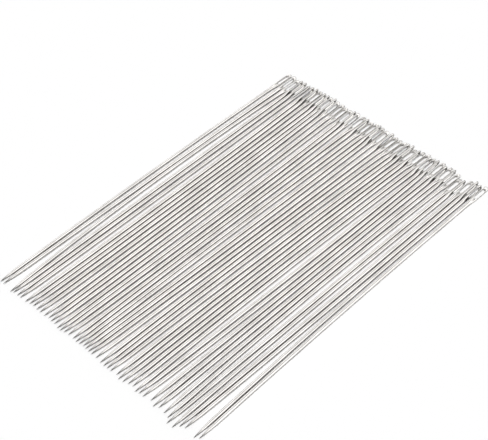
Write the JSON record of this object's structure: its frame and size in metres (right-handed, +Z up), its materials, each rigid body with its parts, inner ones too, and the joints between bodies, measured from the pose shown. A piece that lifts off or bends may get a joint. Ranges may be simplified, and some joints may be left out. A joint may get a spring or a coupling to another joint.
{
  "type": "upholstery needle set",
  "caption": "Long straight steel upholstery needles lying side by side in one row, each with a tapered sharp point and a long flattened eye.",
  "frame": {"origin": "on the surface that the needles lie on, under the middle of the row", "axes": "+X along the needles from their points to their eyes, +Y across the row towards the first needle, +Z up"},
  "size_m": [0.1816, 0.118, 0.0024],
  "materials": {
    "plated_steel": "bright nickel plate over finely ground steel wire"
  },
  "bodies": {
    "needle_01": {"needle_01": "plated_steel"},
    "needle_02": {"needle_02": "plated_steel"},
    "needle_03": {"needle_03": "plated_steel"},
    "needle_04": {"needle_04": "plated_steel"},
    "needle_05": {"needle_05": "plated_steel"},
    "needle_06": {"needle_06": "plated_steel"},
    "needle_07": {"needle_07": "plated_steel"},
    "needle_08": {"needle_08": "plated_steel"},
    "needle_09": {"needle_09": "plated_steel"},
    "needle_10": {"needle_10": "plated_steel"},
    "needle_11": {"needle_11": "plated_steel"},
    "needle_12": {"needle_12": "plated_steel"},
    "needle_13": {"needle_13": "plated_steel"},
    "needle_14": {"needle_14": "plated_steel"},
    "needle_15": {"needle_15": "plated_steel"},
    "needle_16": {"needle_16": "plated_steel"},
    "needle_17": {"needle_17": "plated_steel"},
    "needle_18": {"needle_18": "plated_steel"},
    "needle_19": {"needle_19": "plated_steel"},
    "needle_20": {"needle_20": "plated_steel"},
    "needle_21": {"needle_21": "plated_steel"},
    "needle_22": {"needle_22": "plated_steel"},
    "needle_23": {"needle_23": "plated_steel"},
    "needle_24": {"needle_24": "plated_steel"},
    "needle_25": {"needle_25": "plated_steel"},
    "needle_26": {"needle_26": "plated_steel"},
    "needle_27": {"needle_27": "plated_steel"},
    "needle_28": {"needle_28": "plated_steel"},
    "needle_29": {"needle_29": "plated_steel"},
    "needle_30": {"needle_30": "plated_steel"},
    "needle_31": {"needle_31": "plated_steel"},
    "needle_32": {"needle_32": "plated_steel"},
    "needle_33": {"needle_33": "plated_steel"},
    "needle_34": {"needle_34": "plated_steel"},
    "needle_35": {"needle_35": "plated_steel"},
    "needle_36": {"needle_36": "plated_steel"},
    "needle_37": {"needle_37": "plated_steel"},
    "needle_38": {"needle_38": "plated_steel"},
    "needle_39": {"needle_39": "plated_steel"},
    "needle_40": {"needle_40": "plated_steel"},
    "needle_41": {"needle_41": "plated_steel"},
    "needle_42": {"needle_42": "plated_steel"},
    "needle_43": {"needle_43": "plated_steel"},
    "needle_44": {"needle_44": "plated_steel"},
    "needle_45": {"needle_45": "plated_steel"},
    "needle_46": {"needle_46": "plated_steel"},
    "needle_47": {"needle_47": "plated_steel"},
    "needle_48": {"needle_48": "plated_steel"},
    "needle_49": {"needle_49": "plated_steel"},
    "needle_50": {"needle_50": "plated_steel"}
  },
  "joints": [
    {"name": "lift_02", "type": "slide", "parent": "needle_01", "child": "needle_02", "axis": [0, 0, 1], "range_m": [0, 0.03]},
    {"name": "lift_03", "type": "slide", "parent": "needle_01", "child": "needle_03", "axis": [0, 0, 1], "range_m": [0, 0.03]},
    {"name": "lift_04", "type": "slide", "parent": "needle_01", "child": "needle_04", "axis": [0, 0, 1], "range_m": [0, 0.03]},
    {"name": "lift_05", "type": "slide", "parent": "needle_01", "child": "needle_05", "axis": [0, 0, 1], "range_m": [0, 0.03]},
    {"name": "lift_06", "type": "slide", "parent": "needle_01", "child": "needle_06", "axis": [0, 0, 1], "range_m": [0, 0.03]},
    {"name": "lift_07", "type": "slide", "parent": "needle_01", "child": "needle_07", "axis": [0, 0, 1], "range_m": [0, 0.03]},
    {"name": "lift_08", "type": "slide", "parent": "needle_01", "child": "needle_08", "axis": [0, 0, 1], "range_m": [0, 0.03]},
    {"name": "lift_09", "type": "slide", "parent": "needle_01", "child": "needle_09", "axis": [0, 0, 1], "range_m": [0, 0.03]},
    {"name": "lift_10", "type": "slide", "parent": "needle_01", "child": "needle_10", "axis": [0, 0, 1], "range_m": [0, 0.03]},
    {"name": "lift_11", "type": "slide", "parent": "needle_01", "child": "needle_11", "axis": [0, 0, 1], "range_m": [0, 0.03]},
    {"name": "lift_12", "type": "slide", "parent": "needle_01", "child": "needle_12", "axis": [0, 0, 1], "range_m": [0, 0.03]},
    {"name": "lift_13", "type": "slide", "parent": "needle_01", "child": "needle_13", "axis": [0, 0, 1], "range_m": [0, 0.03]},
    {"name": "lift_14", "type": "slide", "parent": "needle_01", "child": "needle_14", "axis": [0, 0, 1], "range_m": [0, 0.03]},
    {"name": "lift_15", "type": "slide", "parent": "needle_01", "child": "needle_15", "axis": [0, 0, 1], "range_m": [0, 0.03]},
    {"name": "lift_16", "type": "slide", "parent": "needle_01", "child": "needle_16", "axis": [0, 0, 1], "range_m": [0, 0.03]},
    {"name": "lift_17", "type": "slide", "parent": "needle_01", "child": "needle_17", "axis": [0, 0, 1], "range_m": [0, 0.03]},
    {"name": "lift_18", "type": "slide", "parent": "needle_01", "child": "needle_18", "axis": [0, 0, 1], "range_m": [0, 0.03]},
    {"name": "lift_19", "type": "slide", "parent": "needle_01", "child": "needle_19", "axis": [0, 0, 1], "range_m": [0, 0.03]},
    {"name": "lift_20", "type": "slide", "parent": "needle_01", "child": "needle_20", "axis": [0, 0, 1], "range_m": [0, 0.03]},
    {"name": "lift_21", "type": "slide", "parent": "needle_01", "child": "needle_21", "axis": [0, 0, 1], "range_m": [0, 0.03]},
    {"name": "lift_22", "type": "slide", "parent": "needle_01", "child": "needle_22", "axis": [0, 0, 1], "range_m": [0, 0.03]},
    {"name": "lift_23", "type": "slide", "parent": "needle_01", "child": "needle_23", "axis": [0, 0, 1], "range_m": [0, 0.03]},
    {"name": "lift_24", "type": "slide", "parent": "needle_01", "child": "needle_24", "axis": [0, 0, 1], "range_m": [0, 0.03]},
    {"name": "lift_25", "type": "slide", "parent": "needle_01", "child": "needle_25", "axis": [0, 0, 1], "range_m": [0, 0.03]},
    {"name": "lift_26", "type": "slide", "parent": "needle_01", "child": "needle_26", "axis": [0, 0, 1], "range_m": [0, 0.03]},
    {"name": "lift_27", "type": "slide", "parent": "needle_01", "child": "needle_27", "axis": [0, 0, 1], "range_m": [0, 0.03]},
    {"name": "lift_28", "type": "slide", "parent": "needle_01", "child": "needle_28", "axis": [0, 0, 1], "range_m": [0, 0.03]},
    {"name": "lift_29", "type": "slide", "parent": "needle_01", "child": "needle_29", "axis": [0, 0, 1], "range_m": [0, 0.03]},
    {"name": "lift_30", "type": "slide", "parent": "needle_01", "child": "needle_30", "axis": [0, 0, 1], "range_m": [0, 0.03]},
    {"name": "lift_31", "type": "slide", "parent": "needle_01", "child": "needle_31", "axis": [0, 0, 1], "range_m": [0, 0.03]},
    {"name": "lift_32", "type": "slide", "parent": "needle_01", "child": "needle_32", "axis": [0, 0, 1], "range_m": [0, 0.03]},
    {"name": "lift_33", "type": "slide", "parent": "needle_01", "child": "needle_33", "axis": [0, 0, 1], "range_m": [0, 0.03]},
    {"name": "lift_34", "type": "slide", "parent": "needle_01", "child": "needle_34", "axis": [0, 0, 1], "range_m": [0, 0.03]},
    {"name": "lift_35", "type": "slide", "parent": "needle_01", "child": "needle_35", "axis": [0, 0, 1], "range_m": [0, 0.03]},
    {"name": "lift_36", "type": "slide", "parent": "needle_01", "child": "needle_36", "axis": [0, 0, 1], "range_m": [0, 0.03]},
    {"name": "lift_37", "type": "slide", "parent": "needle_01", "child": "needle_37", "axis": [0, 0, 1], "range_m": [0, 0.03]},
    {"name": "lift_38", "type": "slide", "parent": "needle_01", "child": "needle_38", "axis": [0, 0, 1], "range_m": [0, 0.03]},
    {"name": "lift_39", "type": "slide", "parent": "needle_01", "child": "needle_39", "axis": [0, 0, 1], "range_m": [0, 0.03]},
    {"name": "lift_40", "type": "slide", "parent": "needle_01", "child": "needle_40", "axis": [0, 0, 1], "range_m": [0, 0.03]},
    {"name": "lift_41", "type": "slide", "parent": "needle_01", "child": "needle_41", "axis": [0, 0, 1], "range_m": [0, 0.03]},
    {"name": "lift_42", "type": "slide", "parent": "needle_01", "child": "needle_42", "axis": [0, 0, 1], "range_m": [0, 0.03]},
    {"name": "lift_43", "type": "slide", "parent": "needle_01", "child": "needle_43", "axis": [0, 0, 1], "range_m": [0, 0.03]},
    {"name": "lift_44", "type": "slide", "parent": "needle_01", "child": "needle_44", "axis": [0, 0, 1], "range_m": [0, 0.03]},
    {"name": "lift_45", "type": "slide", "parent": "needle_01", "child": "needle_45", "axis": [0, 0, 1], "range_m": [0, 0.03]},
    {"name": "lift_46", "type": "slide", "parent": "needle_01", "child": "needle_46", "axis": [0, 0, 1], "range_m": [0, 0.03]},
    {"name": "lift_47", "type": "slide", "parent": "needle_01", "child": "needle_47", "axis": [0, 0, 1], "range_m": [0, 0.03]},
    {"name": "lift_48", "type": "slide", "parent": "needle_01", "child": "needle_48", "axis": [0, 0, 1], "range_m": [0, 0.03]},
    {"name": "lift_49", "type": "slide", "parent": "needle_01", "child": "needle_49", "axis": [0, 0, 1], "range_m": [0, 0.03]},
    {"name": "lift_50", "type": "slide", "parent": "needle_01", "child": "needle_50", "axis": [0, 0, 1], "range_m": [0, 0.03]}
  ]
}
